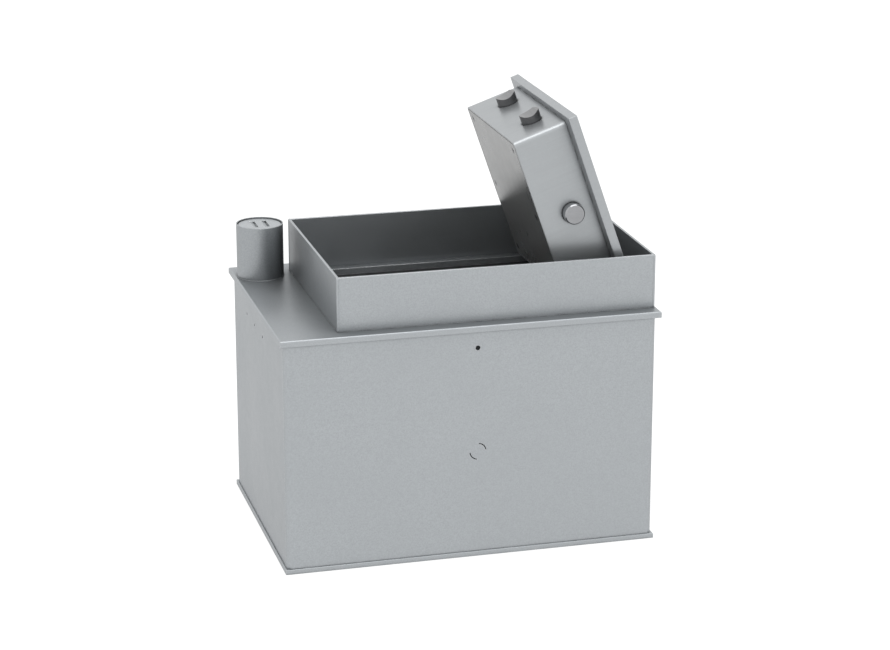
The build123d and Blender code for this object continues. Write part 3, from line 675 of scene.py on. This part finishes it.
satin_handle = bare_metal("satin nickel handle", (0.60, 0.59, 0.57), 0.26, 1000.0, turn=door_turn,
                          contrast=0.06)
finish_nodes(satin_handle, "door_handle")
keyhole_nickel = bare_metal("satin nickel sheet", (0.56, 0.55, 0.54), 0.3, 1300.0, turn=door_turn,
                            contrast=0.08, edge_width=0.0003)
finish_nodes(keyhole_nickel, "keyhole_plate", "keyhole_flap")
lock_casting = bare_metal("cast zinc case", (0.42, 0.42, 0.43), 0.48, 300.0, turn=door_turn,
                          contrast=0.1, relief=0.00006)
finish_nodes(lock_casting, "lock_case")


# The casing is fixed to the door plate with stitch welds along its foot, in the corner
# between the two, and painted over.

tilt_out = Vector((math.sin(door_tilt), 0, math.cos(door_tilt)))
tilt_along = Vector((-math.cos(door_tilt), 0, math.sin(door_tilt)))
pivot = Vector(hinge["pos_m"])


def door_spread(node, axis):
    """The least and greatest distance of a node from the hinge along an axis of the door."""
    reach = [(vertex.co - pivot).dot(axis) for vertex in frame["nodes"][node].data.vertices]
    return min(reach), max(reach)


def on_door(distance, sideways, level):
    """A place on the door: distance from the hinge, place along the pin, level outwards."""
    place = pivot + tilt_along * distance + tilt_out * level
    return Vector((place.x, sideways, place.z))


plate_face = door_spread("door_plate", tilt_out)[0]
casing_near, casing_far = door_spread("bolt_casing", tilt_along)
casing_front, casing_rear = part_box("bolt_casing")[0].y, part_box("bolt_casing")[1].y
stitch_inset = 0.014
casing_spacing = 0.03
seam_start, seam_end = casing_near + stitch_inset, casing_far - stitch_inset
end_front, end_rear = casing_front + stitch_inset, casing_rear - stitch_inset
casing_seams = [
    (on_door(seam_start, casing_front, plate_face), on_door(seam_end, casing_front, plate_face)),
    (on_door(casing_far, end_front, plate_face), on_door(casing_far, end_rear, plate_face)),
    (on_door(seam_end, casing_rear, plate_face), on_door(seam_start, casing_rear, plate_face)),
]
lay_stitches("casing_foot_welds", collar_stitch, casing_seams, casing_spacing, "door", door_coat)
bpy.data.objects.remove(collar_stitch)


# The box stands on a plain pale floor, lit evenly by a pale surround and a wide soft lamp
# overhead.

bpy.ops.object.select_all(action="DESELECT")
floor_size = 60.0
floor_clear = 0.0002
bpy.ops.mesh.primitive_grid_add(x_subdivisions=8, y_subdivisions=8, size=floor_size,
                                location=(0, 0, cad_box[0].z - floor_clear))
floor = bpy.context.object
floor.name = "floor"
floor_look = bpy.data.materials.new("pale floor")
floor_look.use_nodes = True
floor_shader = floor_look.node_tree.nodes["Principled BSDF"]
floor_shader.inputs["Base Color"].default_value = (0.25, 0.25, 0.25, 1.0)
floor_shader.inputs["Roughness"].default_value = 0.9
floor_shader.inputs["Specular IOR Level"].default_value = 0.0
floor_shader.inputs["Emission Color"].default_value = (1.0, 1.0, 1.0, 1.0)
floor_shader.inputs["Emission Strength"].default_value = 0.8
floor.data.materials.append(floor_look)

world = bpy.data.worlds.new("studio surround")
bpy.context.scene.world = world
world.use_nodes = True
surround = world.node_tree.nodes["Background"]
surround.inputs["Color"].default_value = (1.0, 1.0, 1.0, 1.0)
surround.inputs["Strength"].default_value = 1.28

aim = Vector((0.0076, 0.0, 0.2463))


def soft_lamp(name, place, width, depth, power):
    """A rectangular lamp aimed at the middle of the box."""
    lamp = bpy.data.lights.new(name, "AREA")
    lamp.shape = "RECTANGLE"
    lamp.size, lamp.size_y = width, depth
    lamp.energy = power
    holder = bpy.data.objects.new(name, lamp)
    holder.location = place
    holder.rotation_euler = (aim - Vector(place)).to_track_quat("-Z", "Y").to_euler()
    bpy.context.scene.collection.objects.link(holder)


soft_lamp("overhead lamp", place=(0.2, -0.5, 2.2), width=1.6, depth=1.2, power=13.0)


# The camera stands to the left of the front and a little above the box, with a long lens,
# and looks at a place just right of the middle.

azimuth, elevation, distance = math.radians(14.989), math.radians(17.345), 3.2865
back = Vector((-math.sin(azimuth) * math.cos(elevation), -math.cos(azimuth) * math.cos(elevation),
               math.sin(elevation)))
lens = bpy.data.cameras.new("camera")
lens.lens = 106.5
lens.sensor_width = 36.0
lens.clip_start, lens.clip_end = 0.05, 200.0
camera = bpy.data.objects.new("camera", lens)
camera.location = aim + back * distance
camera.rotation_euler = (-back).to_track_quat("-Z", "Y").to_euler()
bpy.context.scene.collection.objects.link(camera)
bpy.context.scene.camera = camera
bpy.context.scene.view_settings.view_transform = "Standard"
